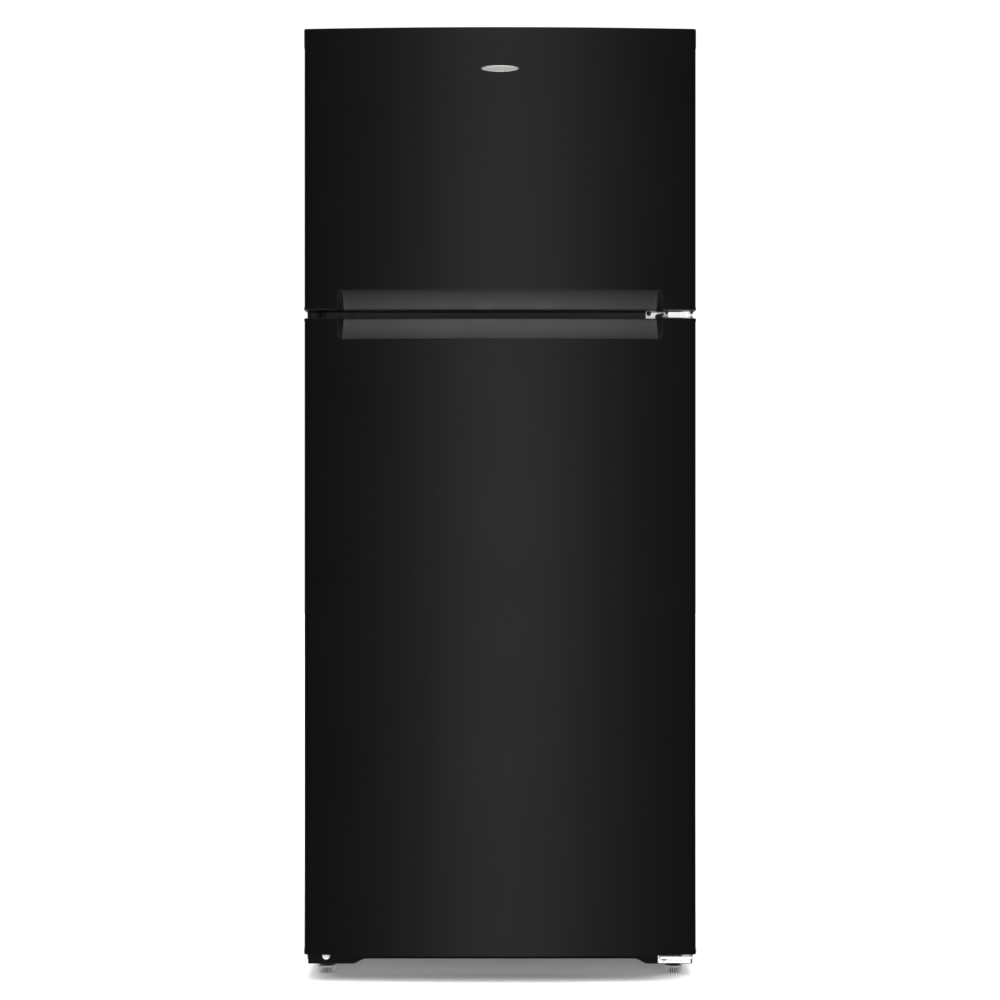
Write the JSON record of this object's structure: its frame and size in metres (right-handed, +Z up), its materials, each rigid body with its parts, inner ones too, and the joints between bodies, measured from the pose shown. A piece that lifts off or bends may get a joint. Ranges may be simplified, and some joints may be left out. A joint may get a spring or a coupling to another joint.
{
  "type": "top freezer refrigerator",
  "caption": "Black top freezer refrigerator with bowed doors, recessed pocket grips along the gap between the doors, right-hand hinges, glass shelves, drawers, door bins and levelling feet.",
  "frame": {"origin": "on the floor, under the middle of the refrigerator's box", "axes": "+Z up, -Y out of the doors' fronts, +X to the hinge side"},
  "size_m": [0.7, 0.7524, 1.7005],
  "materials": {
    "black_steel": "satin",
    "black_plastic": "satin",
    "zinc_plate": "satin",
    "white_liner": "satin",
    "grey_plastic": "matte",
    "clear_plastic": "gloss",
    "glass": "polished",
    "gasket_rubber": "matte",
    "foam": "matte",
    "copper_tube": "satin",
    "aluminium": "satin",
    "compressor_black": "satin",
    "galvanised": "satin",
    "lamp_white": "gloss",
    "badge_silver": "polished"
  },
  "bodies": {
    "cabinet": {"side_panel_left": "black_steel", "side_panel_right": "black_steel", "top_panel": "black_steel", "mullion_rail": "black_steel", "base_front_rail": "black_steel", "rear_panel": "galvanised", "base_frame": "galvanised", "machine_cover": "galvanised", "condenser_fan_motor": "galvanised", "evaporator_fan_motor": "galvanised", "insulation_foam": "foam", "freezer_liner": "white_liner", "fridge_liner": "white_liner", "control_housing": "white_liner", "evaporator_cover": "white_liner", "top_hinge": "zinc_plate", "center_hinge": "zinc_plate", "bottom_hinge": "zinc_plate", "center_hinge_screw": "zinc_plate", "bottom_hinge_screw": "zinc_plate", "leg_screw_left": "zinc_plate", "top_hinge_cover": "black_plastic", "mullion_plug": "black_plastic", "hinge_hole_cover": "black_plastic", "freezer_shelf": "glass", "upper_shelf": "glass", "lower_shelf": "glass", "crisper_cover": "glass", "lamp_lens": "lamp_white", "evaporator_coil": "aluminium", "condenser_coil": "copper_tube", "compressor": "compressor_black"},
    "freezer_door": {"freezer_door_skin": "black_steel", "freezer_door_foam": "foam", "freezer_door_liner": "white_liner", "freezer_door_top_cap": "black_plastic", "freezer_door_handle_cap": "black_plastic", "freezer_gasket": "gasket_rubber", "freezer_bin_lower": "clear_plastic", "freezer_bin_upper": "clear_plastic", "door_badge": "badge_silver"},
    "fridge_door": {"fridge_door_skin": "black_steel", "fridge_door_foam": "foam", "fridge_door_liner": "white_liner", "fridge_door_handle_cap": "black_plastic", "fridge_door_bottom_cap": "black_plastic", "fridge_gasket": "gasket_rubber", "fridge_bin_lower": "clear_plastic", "fridge_bin_upper": "clear_plastic", "dairy_box": "clear_plastic"},
    "dairy_cover": {"dairy_lid": "clear_plastic"},
    "dial": {"temperature_knob": "grey_plastic"},
    "cold_fan": {"evaporator_fan": "black_plastic"},
    "warm_fan": {"condenser_fan": "black_plastic"},
    "drawer_left": {"crisper_left": "clear_plastic"},
    "drawer_right": {"crisper_right": "clear_plastic"},
    "foot_left": {"leveling_foot_left": "zinc_plate"},
    "foot_right": {"leveling_foot_right": "zinc_plate"},
    "roller_left": {"rear_roller_left": "grey_plastic"},
    "roller_right": {"rear_roller_right": "grey_plastic"}
  },
  "joints": [
    {"name": "freezer_door_hinge", "type": "hinge", "parent": "cabinet", "child": "freezer_door", "pos_m": [0.333, -0.325, 1.45], "axis": [0, 0, 1], "range_deg": [0, 120]},
    {"name": "fridge_door_hinge", "type": "hinge", "parent": "cabinet", "child": "fridge_door", "pos_m": [0.333, -0.325, 0.6], "axis": [0, 0, 1], "range_deg": [0, 120]},
    {"name": "dairy_lid_hinge", "type": "hinge", "parent": "fridge_door", "child": "dairy_cover", "pos_m": [0, -0.223, 1.058], "axis": [1, 0, 0], "range_deg": [0, 80]},
    {"name": "dial_turn", "type": "hinge", "parent": "cabinet", "child": "dial", "pos_m": [0.075, -0.215, 1.128], "axis": [0, 1, 0], "range_deg": [0, 270]},
    {"name": "cold_fan_spin", "type": "hinge", "parent": "cabinet", "child": "cold_fan", "pos_m": [0, 0.278, 1.55], "axis": [0, 1, 0], "continuous": true},
    {"name": "warm_fan_spin", "type": "hinge", "parent": "cabinet", "child": "warm_fan", "pos_m": [0, 0.29, 0.125], "axis": [1, 0, 0], "continuous": true},
    {"name": "drawer_left_slide", "type": "slide", "parent": "cabinet", "child": "drawer_left", "axis": [0, -1, 0], "range_m": [0, 0.06]},
    {"name": "drawer_right_slide", "type": "slide", "parent": "cabinet", "child": "drawer_right", "axis": [0, -1, 0], "range_m": [0, 0.06]},
    {"name": "foot_left_turn", "type": "hinge", "parent": "cabinet", "child": "foot_left", "pos_m": [-0.3147, -0.259, 0.03], "axis": [0, 0, 1], "continuous": true},
    {"name": "foot_right_turn", "type": "hinge", "parent": "cabinet", "child": "foot_right", "pos_m": [0.3147, -0.259, 0.03], "axis": [0, 0, 1], "continuous": true},
    {"name": "roller_left_spin", "type": "hinge", "parent": "cabinet", "child": "roller_left", "pos_m": [-0.318, 0.29, 0.014], "axis": [1, 0, 0], "continuous": true},
    {"name": "roller_right_spin", "type": "hinge", "parent": "cabinet", "child": "roller_right", "pos_m": [0.318, 0.29, 0.014], "axis": [1, 0, 0], "continuous": true}
  ]
}
